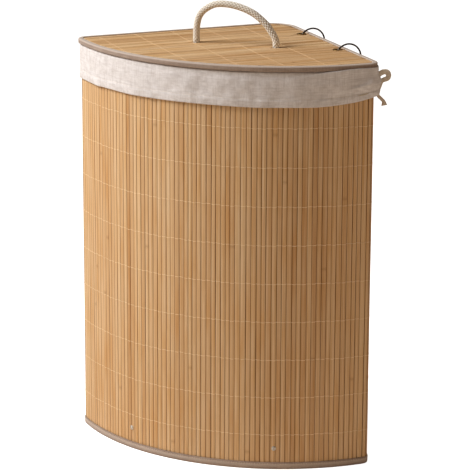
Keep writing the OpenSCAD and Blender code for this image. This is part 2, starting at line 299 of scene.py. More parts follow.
def tube(name, line, side, radii, sides=24, fixed=False):
    """Closed tube; radii(angles, distance) gives the reach along side and along the third direction."""
    a, b = frames(line, side, fixed)
    dist = travelled(line)
    ang = np.arange(sides) * TAU / sides
    ra, rb, *depth = radii(ang[None, :], dist[:, None])
    ra, rb = np.broadcast_to(ra, (len(line), sides)), np.broadcast_to(rb, (len(line), sides))
    pts = line[:, None, :] + ra[..., None] * a[:, None, :] + rb[..., None] * b[:, None, :]
    faces = grid_faces(len(line), sides, False, True)
    last = (len(line) - 1) * sides
    faces += [list(range(sides))[::-1], [last + k for k in range(sides)]]
    obj = piece(name, pts, faces)
    outward(obj)
    spread(obj, "uvw", triples(ang[None, :] / TAU, dist[:, None]))
    if depth:
        # How deep each point lies. The rope material reads this to paint shade into the plait's gaps.
        spread(obj, "crevice_shade", np.broadcast_to(depth[0], (len(line), sides)).ravel())
    return obj


def lathe(name, profile, places, segments=32):
    """Bodies of revolution; places are (centre, axis), and the profile's points are (radius, height)."""
    profile = np.array(profile)
    ang = np.arange(segments) * TAU / segments
    verts, faces = [], []
    for centre, axis in places:
        turn = np.array(Vector((0, 0, 1)).rotation_difference(Vector(axis)).to_matrix())
        ring = np.stack([np.outer(np.cos(ang), profile[:, 0]), np.outer(np.sin(ang), profile[:, 0]),
                         np.broadcast_to(profile[:, 1], (segments, len(profile)))], -1)
        faces += grid_faces(segments, len(profile), True, True, len(verts) * segments * len(profile))
        verts.append(ring @ turn.T + np.array(centre))
    obj = piece(name, np.array(verts), faces)
    outward(obj)
    return obj


# ---- Materials ----

def srgb(*channels):
    return tuple(((c / 255 + 0.055) / 1.055) ** 2.4 if c > 10 else c / 255 / 12.92 for c in channels) + (1.0,)


class Paint:
    """A node tree with short calls for the nodes used here."""

    def __init__(self, name, rough=0.6, **sockets):
        self.mat = bpy.data.materials.new(name)
        self.mat.use_nodes = True
        self.tree = self.mat.node_tree
        self.shader = self.tree.nodes["Principled BSDF"]
        self.shader.inputs["Roughness"].default_value = rough
        for key, value in sockets.items():
            self.shader.inputs[key.replace("_", " ")].default_value = value

    def put(self, socket, value):
        if hasattr(value, "links"):
            self.tree.links.new(value, socket)
        else:
            socket.default_value = value

    def node(self, kind, out=0, settings=(), **inputs):
        n = self.tree.nodes.new(kind)
        for key, value in dict(settings).items():
            setattr(n, key, value)
        for key, value in inputs.items():
            self.put(n.inputs[int(key[1:])] if key[0] == "i" and key[1:].isdigit() else n.inputs[key], value)
        return n.outputs[out]

    def place(self):
        return self.node("ShaderNodeTexCoord", 3)

    def read(self, name, vector=True):
        return self.node("ShaderNodeAttribute", 1 if vector else 2, {"attribute_name": name})

    def scaled(self, vector, scale):
        return self.node("ShaderNodeMapping", 0, (), Vector=vector, Scale=scale)

    def noise(self, vector, scale, detail=3.0, rough=0.5):
        return self.node("ShaderNodeTexNoise", 0, (), Vector=self.scaled(vector, scale), Scale=1.0,
                         Detail=detail, Roughness=rough)

    def wave(self, vector, scale, direction, distortion):
        return self.node("ShaderNodeTexWave", 1, {"bands_direction": direction},
                         Vector=vector, Scale=scale, Distortion=distortion)

    def ramp(self, value, *stops):
        n = self.tree.nodes.new("ShaderNodeValToRGB")
        self.put(n.inputs[0], value)
        cells = n.color_ramp.elements
        while len(cells) < len(stops):
            cells.new(0.5)
        for cell, (at, colour) in zip(cells, stops):
            cell.position = at
            cell.color = colour if len(colour) == 4 else (*colour, 1)
        return n.outputs[0]

    def grey(self, value, a, b, dark=0.0, light=1.0):
        return self.ramp(value, (a, (dark,) * 3), (b, (light,) * 3))

    def mix(self, amount, a, b, blend="MIX"):
        n = self.tree.nodes.new("ShaderNodeMix")
        n.data_type, n.blend_type = "RGBA", blend
        for index, value in ((0, amount), (6, a), (7, b)):
            self.put(n.inputs[index], value)
        return n.outputs[2]

    def stain(self, amount, base, colour):
        """Base darkened by a colour, as far as amount says."""
        return self.mix(amount, base, self.mix(1.0, base, colour, "MULTIPLY"))

    def maths(self, operation, a, b=0.0):
        return self.node("ShaderNodeMath", 0, {"operation": operation}, i0=a, i1=b)

    def colour(self, value):
        self.put(self.shader.inputs["Base Color"], value)

    def rough(self, value):
        self.put(self.shader.inputs["Roughness"], value)

    def bump(self, height, distance, strength=1.0):
        made = self.node("ShaderNodeBump", 0, (), Height=height, Strength=strength, Distance=distance)
        self.put(self.shader.inputs["Normal"], made)


def bamboo(name, light, mid, dark):
    """Split bamboo. uvw is (across, along, seed) in metres; tone, edge and knot come with the slats. edge
    marks each slat's sides, which are darkened as painted shade from the joints.
    """
    m = Paint(name, 0.5, Specular_IOR_Level=0.35)
    uvw = m.read("uvw")
    tone, edge, knot = [m.read(k, False) for k in ("tone", "edge", "knot")]
    fibre = m.noise(uvw, (2600, 14, 700), 3.0, 0.6)
    streak = m.noise(uvw, (620, 3.2, 450), 3.0, 0.55)
    patch = m.noise(uvw, (60, 9, 210), 2.0, 0.5)
    fleck = m.noise(uvw, (1500, 160, 900), 2.0, 0.5)
    base = m.ramp(tone, (0.0, dark), (0.5, mid), (1.0, light))
    base = m.stain(m.grey(streak, 0.35, 0.7), base, srgb(234, 214, 184))
    base = m.stain(m.grey(patch, 0.45, 0.75, 0.0, 0.6), base, srgb(242, 218, 172))
    base = m.stain(m.grey(fibre, 0.3, 0.75, 0.0, 0.45), base, srgb(208, 180, 140))
    base = m.mix(m.grey(fleck, 0.7, 0.8, 0.0, 0.4), base, srgb(128, 84, 46))
    # Painted shade: each slat's sides are darkened toward brown, as the joints would shade them.
    base = m.mix(m.maths("MULTIPLY", edge, 0.8), base, srgb(142, 90, 42))
    base = m.mix(m.maths("MULTIPLY", knot, 0.3), base, srgb(148, 104, 62))
    m.colour(base)
    m.rough(m.grey(fibre, 0.2, 0.8, 0.42, 0.62))
    m.bump(m.mix(0.35, fibre, streak), 0.25 * MM, 0.5)
    return m.mat


def wave_scale(pitch):
    """The wave texture's scale that repeats at a pitch in metres."""
    return math.pi / 20 / pitch


def woven(name, base, shade, slub, pitch=0.55 * MM):
    """Plain weave at its real pitch, with uneven yarns and faint blotches. uvw is in metres."""
    m = Paint(name, 0.9, Sheen_Weight=0.15, Specular_IOR_Level=0.2)
    uvw = m.read("uvw")
    warp, weft = [m.wave(uvw, wave_scale(pitch), d, 0.6) for d in ("X", "Y")]
    weave = m.maths("MAXIMUM", warp, weft)
    long_yarn = m.noise(uvw, (90, 1300, 50), 2.0)
    cross_yarn = m.noise(uvw, (1300, 90, 50), 2.0)
    mottle = m.noise(uvw, (38, 38, 38), 4.0, 0.6)
    thick = [m.noise(uvw, scale, 3.0, 0.6) for scale in ((40, 330, 50), (330, 40, 50))]
    blotch = m.noise(uvw, (130, 130, 60), 3.0, 0.6)
    tint = m.mix(m.grey(weave, 0.1, 0.9, slub, 0.0), base, shade)
    for pattern, start, end, share in ((long_yarn, 0.5, 0.8, 1.0), (cross_yarn, 0.5, 0.8, 0.8),
                                       (thick[0], 0.48, 0.72, 1.0), (thick[1], 0.48, 0.72, 1.0),
                                       (blotch, 0.42, 0.66, 0.7)):
        tint = m.mix(m.grey(pattern, start, end, 0.0, slub * share), tint, shade)
    m.colour(m.mix(m.grey(mottle, 0.42, 0.75, 0.0, 0.3), tint, shade))
    m.bump(m.mix(0.4, weave, m.mix(0.5, long_yarn, cross_yarn)), 0.12 * MM, 0.8)
    return m.mat


def ribbed(name, base, shade, rib=1.1 * MM):
    """Heavy tape with ribs across its length; pale says where it is painted lighter: a painted highlight
    along the lid tape's top flange, and a lighter band along the middle of the base tape.
    """
    m = Paint(name, 0.85, Sheen_Weight=0.2, Specular_IOR_Level=0.2)
    uvw = m.read("uvw")
    ribs = m.wave(uvw, wave_scale(rib), "X", 0.8)
    thread = m.noise(uvw, (500, 2600, 100), 2.0)
    worn = m.noise(uvw, (30, 120, 30), 3.0)
    tint = m.mix(m.grey(ribs, 0.0, 0.8, 0.75, 0.0), base, shade)
    tint = m.mix(m.grey(thread, 0.45, 0.75, 0.0, 0.5), tint, shade)
    tint = m.mix(m.grey(worn, 0.45, 0.75, 0.0, 0.35), tint, m.mix(0.5, base, srgb(222, 208, 190)))
    # Lighter where pale says: a painted highlight on the lid tape's top flange, and a lighter band on the
    # base tape.
    m.colour(m.mix(m.maths("MULTIPLY", m.read("pale", False), 0.6), tint, srgb(208, 194, 182)))
    m.bump(m.mix(0.3, ribs, thread), 0.25 * MM, 0.8)
    return m.mat


def spun(name, base, shade, twist, depth, crevice_shade=0.0):
    """Spun cotton yarn round a tube. uvw is (turn, distance, 0); the last argument sets how much painted
    shade darkens the gaps of a plait.
    """
    m = Paint(name, 0.9, Sheen_Weight=0.25, Specular_IOR_Level=0.15)
    uvw = m.read("uvw")
    ply = m.wave(m.scaled(uvw, (*twist, 0)), 0.5, "DIAGONAL", 0.5)
    hair = m.noise(m.place(), (2200, 2200, 2200), 3.0, 0.7)
    soil = m.noise(m.place(), (60, 60, 60), 3.0)
    tint = m.mix(m.grey(ply, 0.0, 0.7, 0.6, 0.0), base, shade)
    tint = m.mix(m.grey(hair, 0.5, 0.8, 0.0, 0.4), tint, shade)
    if crevice_shade:
        # Painted shade in the plait's gaps, darker where the point lies deeper.
        deep = m.grey(m.read("crevice_shade", False), 0.1, 0.75, 0.0, crevice_shade)
        tint = m.mix(deep, tint, m.mix(1.0, shade, srgb(150, 126, 96), "MULTIPLY"))
    m.colour(m.mix(m.grey(soil, 0.5, 0.8, 0.0, 0.3), tint, shade))
    m.bump(m.mix(0.35, ply, hair), depth * MM, 0.8)
    return m.mat


def metal(name, base, shade, rough):
    m = Paint(name, rough, Metallic=1.0)
    wear = m.noise(m.place(), (240, 240, 240), 4.0, 0.6)
    scratch = m.noise(m.place(), (3000, 900, 300), 2.0)
    m.colour(m.mix(m.grey(wear, 0.4, 0.75), base, shade))
    m.rough(m.grey(m.mix(0.5, wear, scratch), 0.3, 0.75, rough * 0.7, rough * 1.7))
    m.bump(scratch, 0.03 * MM, 0.3)
    return m.mat


def board(name, base, shade):
    m = Paint(name, 0.8)
    fibre = m.noise(m.place(), (900, 900, 900), 4.0, 0.7)
    cloud = m.noise(m.place(), (25, 25, 25), 3.0)
    m.colour(m.mix(m.grey(m.mix(0.4, fibre, cloud), 0.35, 0.7), base, shade))
    m.bump(fibre, 0.12 * MM, 0.5)
    return m.mat


def felt(name, base, shade):
    """Thin non-woven backing with a pressed dot pattern."""
    m = Paint(name, 0.95, Sheen_Weight=0.2)
    dots = m.node("ShaderNodeTexVoronoi", 0, (), Vector=m.place(), Scale=520.0, Randomness=0.15)
    hair = m.noise(m.place(), (1500, 1500, 1500), 3.0, 0.7)
    m.colour(m.mix(m.grey(m.mix(0.5, dots, hair), 0.3, 0.7), base, shade))
    m.bump(m.mix(0.5, dots, hair), 0.1 * MM, 0.6)
    return m.mat


BAMBOO = bamboo("bamboo", srgb(240, 212, 172), srgb(232, 201, 161), srgb(217, 181, 138))
BAMBOO_LID = bamboo("bamboo_lid", srgb(244, 218, 178), srgb(236, 206, 166), srgb(214, 179, 136))
COTTON = woven("cotton", srgb(240, 236, 236), srgb(180, 171, 166), slub=0.36)
TAPE = ribbed("taupe_tape", srgb(174, 153, 139), srgb(118, 100, 89))
THREAD = spun("cream_thread", srgb(252, 228, 184), srgb(226, 194, 146), (3.0, 900.0), 0.1)
THREAD_LID = spun("lid_thread", srgb(240, 212, 168), srgb(220, 188, 142), (3.0, 900.0), 0.1)
STITCH = spun("stitch_thread", srgb(240, 228, 210), srgb(196, 180, 158), (3.0, 900.0), 0.08)
ROPE = spun("rope", srgb(255, 252, 244), srgb(238, 228, 206), (24.0, 900.0), 0.2, 0.8)
CORD = spun("taupe_cord", srgb(248, 236, 218), srgb(156, 142, 126), (16.0, 1100.0), 0.25)
RING = metal("ring_steel", srgb(78, 74, 72), srgb(40, 37, 35), 0.24)
STEEL = metal("drawn_steel", srgb(178, 178, 182), srgb(120, 120, 124), 0.38)
RIVET = metal("rivet_metal", srgb(214, 208, 200), srgb(166, 158, 148), 0.32)
BRASS = metal("eyelet_brass", srgb(190, 150, 84), srgb(104, 76, 40), 0.34)
BOARD = board("fibreboard", srgb(196, 164, 122), srgb(160, 128, 90))
BACKING = felt("backing", srgb(176, 124, 70), srgb(140, 94, 50))


def dress(obj, material, body="hamper_body", nodes=()):
    """Material, body, material slot and the CAD nodes that obj stands for."""
    obj.data.materials.clear()
    obj.data.materials.append(material)
    if body:
        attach(obj, body)
    if nodes:
        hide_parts(*nodes)
    return obj


# ---- Cords: the rope handle and the drawstring's two ends ----

HANDLE_ROUTE = [
    (0, 8), (0, 18), (1, 29), (4, 40), (10, 49), (19, 56), (29, 61), (39, 63), (50, 63), (60, 62),
    (70, 60), (80, 57), (90, 53), (99, 48), (108, 41), (116, 34), (123, 25), (129, 16), (132, 8)]
HANDLE_REACH, HANDLE_SPAN, ROPE_R = 187 * MM, 132 * MM, 5 * MM
TURN = math.radians(4.6 - 45)
ALONG = np.array([math.cos(TURN), math.sin(TURN), 0])
OUT = np.array([-ALONG[1], ALONG[0], 0])
HANDLE_MIDDLE = np.array([-HANDLE_REACH / math.sqrt(2), -HANDLE_REACH / math.sqrt(2), LID_TOP])
HANDLE_START = HANDLE_MIDDLE - HANDLE_SPAN / 2 * ALONG
HANDLE_HOLES = [HANDLE_START, HANDLE_START + HANDLE_SPAN * ALONG]
KNOT_Z = LID_BASE - 7 * MM


def handle_point(s, h):
    return HANDLE_START + s * MM * ALONG + np.array([0, 0, h * MM])


def braid(ang, dist, strands=6, pitch=34 * MM, r=ROPE_R, ends=0.0):
    """Reach of a round plait, whose two sets of strands cross, and how deep each of its points lies."""
    a = strands * ang / TAU
    left, right = a + strands * dist / pitch, a - strands * dist / pitch
    over = (np.floor(left) + np.floor(right)) % 2 == 0
    rise = [np.sin(math.pi * np.mod(c, 1)) for c in (left, right)]
    top = np.maximum(rise[0] * np.where(over, 1, 0.45), rise[1] * np.where(over, 0.45, 1))
    if ends:
        arch = np.minimum(dist, dist.max() - dist) - ends
        r = r * (1 + 0.1 * np.clip(arch / (4 * MM), 0, 1) + 0.06 * np.exp(-((arch - 4 * MM) / (3 * MM)) ** 2))
    reach = r * (0.77 + 0.25 * top)
    return reach * np.cos(ang), reach * np.sin(ang), 1 - top


def make_handle():
    below = (KNOT_Z - LID_TOP) / MM
    route = [(0, below), (0, 0)] + HANDLE_ROUTE + [(HANDLE_SPAN / MM, 0), (HANDLE_SPAN / MM, below)]
    line, dist = even(smoothed([handle_point(s, h) for s, h in route], 8), 0.75 * MM)
    rope = tube("handle_rope_braid", line, OUT, lambda a, d: braid(a, d, ends=-below * MM), 64)
    dress(rope, ROPE, None, ["handle_rope", "handle_rope_ends"])
    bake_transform(rope)


KNOT = np.array([30, -307, 596]) * MM
BOW_OUT, BOW_SIDE, BOW_WALL = [np.array(v) for v in ((0.92, -0.38, 0), (0.38, 0.92, 0), (-0.25, 0.97, 0))]
LOOP_FRONT = [(0.4, 7.3), (-1, 14), (-0.6, 20), (3.4, 26), (8.7, 30.2), (13.9, 31.5), (17.7, 29.9),
              (19.3, 25.5), (17.4, 21), (12.4, 19), (8.4, 16.6), (6.6, 11.8), (5.2, 6)]
TAIL_FRONT = [(3.6, -6.2), (8, -10.8), (12.2, -15.4), (13.6, -21.5)]
LOOP_BACK = [(5.5, 4.6), (11, 9), (17, 11), (23, 9), (27, 4), (28, -2), (24, -7), (18, -7), (12, -4),
             (7.8, -1)]
TAIL_BACK = [(5.2, -5.2), (10, -7.6), (15, -9.4), (18.6, -13.6), (20, -20), (20.4, -28), (20.7, -36),
             (21, -44)]
CORD_W, CORD_T = 5.4 * MM, 3.8 * MM
LEAD_GAP = 2.5 * MM


def nearness(s, centre, width):
    """1 at centre, falling to 0 over width, measured round the outline."""
    d = np.abs(np.mod(s - centre + AROUND / 2, AROUND) - AROUND / 2)
    return np.exp(-(d / width) ** 2)


BOW_S = STARTS[2] + (KNOT[1] + TIP_X)


def hem_lift(s):
    """How far the bow draws the casing up."""
    return 20 * MM * nearness(s, BOW_S, 62 * MM)


def flat_cord(length, flare, loop=(0.0, 0.0)):
    """Section of a soft woven cord: wide in the loop, frayed and flared at its far end."""
    def radii(ang, dist):
        wide = 1 + flare * np.clip((dist - length + 8 * MM) / (8 * MM), 0, 1) ** 1.3
        if loop[1]:
            share = np.clip((dist - loop[0]) / (loop[1] - loop[0]), 0, 1)
            wide = wide + 0.58 * np.sin(math.pi * share) ** 0.8
        fray = 1 + 0.14 * np.sin(7 * ang) * np.clip((dist - length + 4 * MM) / (4 * MM), 0, 1)
        ridge = (1 + 0.05 * np.sin(dist / (0.9 * MM)) * np.abs(np.cos(ang))) * fray
        power = 0.8
        ca, sa = np.cos(ang), np.sin(ang)
        return (CORD_T / 2 * np.sign(ca) * np.abs(ca) ** power * ridge + 0 * dist,
                CORD_W / 2 * np.sign(sa) * np.abs(sa) ** power * wide * ridge)
    return radii


def make_cord_end(name, side, flat, loop, tail, nodes):
    """One end of the drawstring: out of the casing, through the knot, round its loop and down its tail."""
    lead = KNOT + np.array([0, side * LEAD_GAP, 0])
    first = np.array([TIP_R + 5.6 * MM, lead[1], (HEM_Z + HEM_TOP) / 2 + hem_lift(BOW_S)])
    ring, last = [[KNOT + along * o * MM + np.array([0, 0, h * MM]) for o, h in route]
                  for along, route in (loop, tail)]
    inside = [KNOT + (p - KNOT) * 0.25 for p in (ring[0], ring[-1])]
    start = [first, (first + lead) / 2, inside[0]]
    line, dist = even(smoothed(start + ring + [inside[1]] + last, 8), 0.7 * MM)
    spans = (travelled(start + ring[:1])[-1], travelled(start + ring)[-1])
    obj = tube(name, line, flat, flat_cord(dist[-1], 0.75, spans), 22, True)
    dress(obj, CORD, "hamper_body", nodes)
    return obj, line, float(dist[-1])


def make_bow():
    ends = [make_cord_end("drawstring_end_front", -1, BOW_SIDE, (BOW_OUT, LOOP_FRONT), (BOW_OUT, TAIL_FRONT),
                          ["bow_loop_front", "bow_tail_front"]),
            make_cord_end("drawstring_end_back", 1, -BOW_OUT, (BOW_SIDE, LOOP_BACK), (BOW_WALL, TAIL_BACK),
                          ["bow_loop_back", "bow_tail_back"])]
    turns = np.linspace(0, 2.6 * TAU, 150)
    reach = 3.6 * MM
    wind = np.stack([reach * np.cos(turns), reach * np.sin(turns), np.linspace(-3.4, 3.4, 150) * MM], -1)
    axis = np.array([[0.35, 0.1, 0.93], [0.92, -0.22, -0.32], [0.17, 0.97, -0.17]])
    q, _ = np.linalg.qr(axis.T)
    line = KNOT + wind @ np.stack([q[:, 1], q[:, 2], q[:, 0]])
    knot = tube("drawstring_knot", line, q[:, 0], flat_cord(1.0, 0.0), 16)
    dress(knot, CORD, "hamper_body", ["bow_knot"])


make_handle()
make_bow()


# ---- Bamboo slats ----

class Slats:
    """Collects crowned strips of split bamboo into one mesh."""
    ACROSS = np.array([-1, -0.93, -0.72, -0.3, 0.3, 0.72, 0.93, 1, 0.96, -0.96])

    def __init__(self, seed, spread_of_tone=0.17):
        self.rng, self.spread_of_tone = random.Random(seed), spread_of_tone
        self.verts, self.uvw, self.tone, self.edge, self.knot, self.faces = [], [], [], [], [], []
        self.count = 0

    def add(self, origin, along, across, normal, length, width, thick, crown=0.35 * MM):
        rng = self.rng
        knots = [rng.uniform(0.02, 1) * length for _ in range(rng.choice([0, 0, 0, 1]))]
        t = np.arange(0, length, 14 * MM)
        close = [k + np.array([-5, -2.5, 0, 2.5, 5]) * MM for k in knots]
        t = np.unique(np.concatenate([t, [length]] + close))
        t = t[(t >= 0) & (t <= length)]
        bulge = sum([np.exp(-((t - k) / (2.6 * MM)) ** 2) for k in knots], np.zeros(len(t)))
        phase, swing = rng.uniform(0, 6.28), rng.uniform(0.05, 0.22) * MM
        sway = swing * np.sin(t * rng.uniform(7, 16) + phase)
        lift = rng.uniform(-0.12, 0.06) * MM + 0.08 * MM * np.sin(t * rng.uniform(9, 22) + phase)
        a = self.ACROSS[None, :] * width / 2 + sway[:, None]
        face = np.arange(len(self.ACROSS)) < 8
        height = np.where(face, -crown * np.abs(self.ACROSS) ** 5, -thick)[None, :]
        height = height + np.where(face, 1, 0)[None, :] * (lift + 0.22 * MM * bulge)[:, None]
        pts = (np.array(origin) + t[:, None, None] * np.array(along) + a[..., None] * np.array(across)
               + height[..., None] * np.array(normal))
        n, k = len(t), len(self.ACROSS)
        self.faces += grid_faces(n, k, False, True, self.count)
        self.faces += [[self.count + j for j in range(k)][::-1],
                       [self.count + (n - 1) * k + j for j in range(k)]]
        self.count += n * k
        seed = rng.uniform(0, 1)
        self.verts.append(pts.reshape(-1, 3))
        self.uvw.append(triples(a, t[:, None] + seed * 3, seed))
        self.tone.append(np.full(n * k, min(1, max(0, rng.gauss(0.5, self.spread_of_tone)))))
        # edge: 1 on the slat's sides, where the bamboo material paints the joints' shade.
        self.edge.append(np.broadcast_to(np.where(np.abs(self.ACROSS) > 0.95, 1.0, 0.0), (n, k)).ravel())
        self.knot.append(np.broadcast_to(np.clip(bulge, 0, 1)[:, None], (n, k)).ravel())

    def make(self, name):
        obj = piece(name, np.concatenate(self.verts), self.faces)
        outward(obj)
        for key in ("uvw", "tone", "edge", "knot"):
            spread(obj, key, np.concatenate(getattr(self, key)))
        return obj


SLAT_T, GAP = 2.2 * MM, 0.7 * MM


def divided(start, end, pitch, rng, spare=0.13):
    """Uneven steps that fill start to end; spare is how far a step may differ from its share."""
    count = max(1, round((end - start) / pitch))
    widths = np.array([rng.uniform(1 - spare, 1 + spare) for _ in range(count)])
    return start + (end - start) * np.concatenate([[0], np.cumsum(widths) / widths.sum()])


def make_mat():
    """The wall's slats in four panels. Returns the joints between slats, as distances along the outline."""
    s0 = STARTS
    panels = [("mat_front", "wall_slats_front", [(s0[5], s0[6]), (s0[0], s0[1]), (s0[1], s0[2])]),
              ("mat_right", "wall_slats_right", [(s0[2], s0[3])]),
              ("mat_corner", "wall_slats_corner", [(s0[3], s0[4])]),
              ("mat_left", "wall_slats_left", [(s0[4], s0[5])])]
    joints = []
    for seed, (name, node, spans) in enumerate(panels):
        slats = Slats(40 + seed)
        for a, b in spans:
            tight = (b - a) < 30 * MM
            cuts = divided(a, b, (7 if tight else 7.9) * MM, slats.rng)
            joints += list(cuts[:-1])
            mid = (cuts[1:] + cuts[:-1]) / 2
            p, n = outline(mid)
            for q, m, w in zip(p, n, np.diff(cuts)):
                shrink = 1.4 * MM if tight else GAP * slats.rng.uniform(0.6, 1.3)
                slats.add((q[0], q[1], MAT_BASE), (0, 0, 1), (-m[1], m[0], 0), (m[0], m[1], 0),
                          MAT_TOP - MAT_BASE, w - shrink, SLAT_T)
        obj = slats.make(name)
        if node == "wall_slats_right":
            drill(obj, WALL_HOLES, (1, 0, 0), 5.4 * MM)
        dress(obj, BAMBOO, "hamper_body", [node])
    return np.sort(np.mod(joints, AROUND))


RING_Y = [(low(n).y + high(n).y) / 2 for n in ("hinge_ring_back", "hinge_ring_front")]
EYELET_X = (low("lid_eyelets").x + high("lid_eyelets").x) / 2
EYELET_Z = (low("wall_eyelets").z + high("wall_eyelets").z) / 2
WALL_HOLES = [Vector((TIP_R - 2 * MM, y, EYELET_Z)) for y in RING_Y]
LID_HOLES = [Vector((EYELET_X, y, LID_TOP - 3 * MM)) for y in RING_Y]


def tubes(name, paths, closed, radius, sides=6):
    """Thin upright-sided tubes; paths are (points, level side directions)."""
    ang = np.arange(sides) * TAU / sides
    verts, faces, uvw, count = [], [], [], 0
    for pts, a in paths:
        ring = pts[:, None, :] + radius * (np.cos(ang)[None, :, None] * a[:, None, :]
                                           + np.sin(ang)[None, :, None] * np.array(UP))
        faces += grid_faces(len(pts), sides, closed, True, count)
        if not closed:
            last = count + (len(pts) - 1) * sides
            faces += [[count + j for j in range(sides)][::-1], [last + j for j in range(sides)]]
        uvw.append(triples(ang[None, :] / TAU, travelled(pts)[:, None]))
        verts.append(ring.reshape(-1, 3))
        count += ring.shape[0] * sides
    obj = piece(name, np.concatenate(verts), faces)
    outward(obj)
    spread(obj, "uvw", np.concatenate(uvw))
    return obj


def crossing(cuts, pattern):
    """Places along the cuts and lifts off the slats, where pattern gives (share of a slat, lift in mm)."""
    places = [a + share * (b - a) for a, b in zip(cuts[:-1], cuts[1:]) for share, _ in pattern]
    return np.array(places), np.array([lift * MM for _, lift in pattern] * (len(cuts) - 1))


def make_threads(joints, rows=9):
    """Rows of thread that cross every slat and dip into each joint."""
    lowest, highest = low("wall_threads").z + 0.7 * MM, high("wall_threads").z - 0.7 * MM
    gaps = np.concatenate([joints, [joints[0] + AROUND]])
    s, off = crossing(gaps, ((0.0, -1.0), (0.2, 0.0), (0.38, 0.34), (0.62, 0.34), (0.8, 0.0)))
    p, n = outline(s)
    paths = []
    for z in np.linspace(lowest, highest, rows):
        wander = waves(s, z * 7, 5, 4, (0.05, 0.3), 0.7 * MM, (0, 0.01))
        step = 0.35 * MM * np.where(np.arange(len(s)) // 5 % 2 == 0, 1, -1)
        pts = np.concatenate([p + n * off[:, None], (z + wander + step)[:, None]], -1)
        paths.append((pts, level(n)))
    dress(tubes("mat_threads", paths, True, 0.36 * MM), THREAD, "hamper_body", ["wall_threads"])


def chord(y, off):
    """Lowest and highest x of the plan, grown by off, at a given y."""
    p, n = outline(around(2400))
    q = p + n * off
    after = np.roll(q, -1, axis=0)
    cross = (q[:, 1] - y) * (after[:, 1] - y) <= 0
    x = q[cross, 0]
    return (x.min(), x.max()) if len(x) else None


def make_lid_slats():
    """The lid's slats. Returns where they were cut, as distances across the lid."""
    inset = LID_OVER - 1.4 * MM
    slats = Slats(90, 0.3)
    cuts = divided(-FRONT_R - inset, TIP_R + inset, 7.9 * MM, slats.rng)
    top = high("lid_slats").z
    for a, b in zip(cuts[:-1], cuts[1:]):
        ends = [chord(y, inset) for y in (a + 0.2 * MM, (a + b) / 2, b - 0.2 * MM)]
        if None in ends:
            continue
        x0, x1 = max(e[0] for e in ends), min(e[1] for e in ends)
        if x1 - x0 > 12 * MM:
            slats.add((x0, (a + b) / 2, top), (1, 0, 0), (0, -1, 0), (0, 0, 1), x1 - x0,
                      b - a - 0.7 * MM, 1.6 * MM, 0.3 * MM)
    obj = slats.make("lid_bamboo")
    drill(obj, LID_HOLES, (0, 0, 1), 5.35 * MM)
    drill(obj, [Vector(h) for h in HANDLE_HOLES], (0, 0, 1), 6.1 * MM)
    dress(obj, BAMBOO_LID, "lid", ["lid_slats"])
    return cuts


def make_lid_threads(cuts):
    """Threads across the lid's slats, each rising over a slat and dipping at its edges."""
    p, n = outline(around(2400))
    q = p + n * (LID_OVER - 6 * MM)
    top, paths, pitch = high("lid_slats").z, [], 62 * MM
    for i in range(int(TIP_X / pitch)):
        x = -TIP_X + 16.7 * MM + pitch * i
        cross = (q[:, 0] - x) * (np.roll(q[:, 0], -1) - x) <= 0
        y0, y1 = q[cross, 1].min(), q[cross, 1].max()
        y, lift = crossing(cuts, ((0.0, -0.6), (0.16, 0.12), (0.42, 0.34), (0.66, 0.34), (0.86, 0.1)))
        inside = (y > y0) & (y < y1)
        y, z = y[inside], (top + lift)[inside]
        wander = waves(y, x * 9, 12 + i, 3, (0.05, 0.2), 0.6 * MM, (0, 0.01))
        pts = np.stack([x + wander, y, z], -1)
        paths.append((pts, np.tile([1.0, 0, 0], (len(y), 1))))
    dress(tubes("lid_thread_rows", paths, False, 0.2 * MM), THREAD_LID, "lid", ["lid_threads"])


joints = make_mat()
make_threads(joints)
make_lid_threads(make_lid_slats())


# ---- Tapes ----

def tape(name, off, z, wobble, seed, pale):
    """Closed folded tape round the plan, with small unevenness. off and z are the section's points."""
    s = around(900)
    off, z = np.array(off) * MM, np.array(z)
    reach = waves(s[:, None], np.zeros((1, len(off))), seed, 8, (0.012, 0.12), wobble, (0, 0.01))
    outer = np.where(off > off.mean(), 1.0, 0.3)
    obj = grid(name, swept(s, off[None, :] + reach * outer, z[None, :] + 0 * reach), True, True)
    run = np.concatenate([[0], np.cumsum(np.hypot(np.diff(off), np.diff(z)))])
    spread(obj, "uvw", triples(s[:, None], run[None, :]))
    # pale: the heights that are painted lighter, which gives the lid tape's painted highlight and the base
    # tape's lighter middle band.
    spread(obj, "pale", np.tile((z >= pale[0]) & (z <= pale[1]), len(s)).astype(float))
    return obj


def stitches(name, off, z, outward_up, body, long=2.6 * MM, gap=1.5 * MM, radius=0.32 * MM):
    """A row of short thread stitches; outward_up is how far the ends dip, as (off, z)."""
    paths = []
    for a in np.arange(0, AROUND - long, long + gap):
        t = np.linspace(0, 1, 4)
        dip = np.array([1.0, 0.0, 0.0, 1.0])
        p, n = outline(a + t * long)
        o = off - dip * outward_up[0]
        pts = np.concatenate([p + n * o[:, None], (z - dip * outward_up[1])[:, None]], -1)
        paths.append((pts, level(n)))
    return dress(tubes(name, paths, False, radius, 5), STITCH, body)


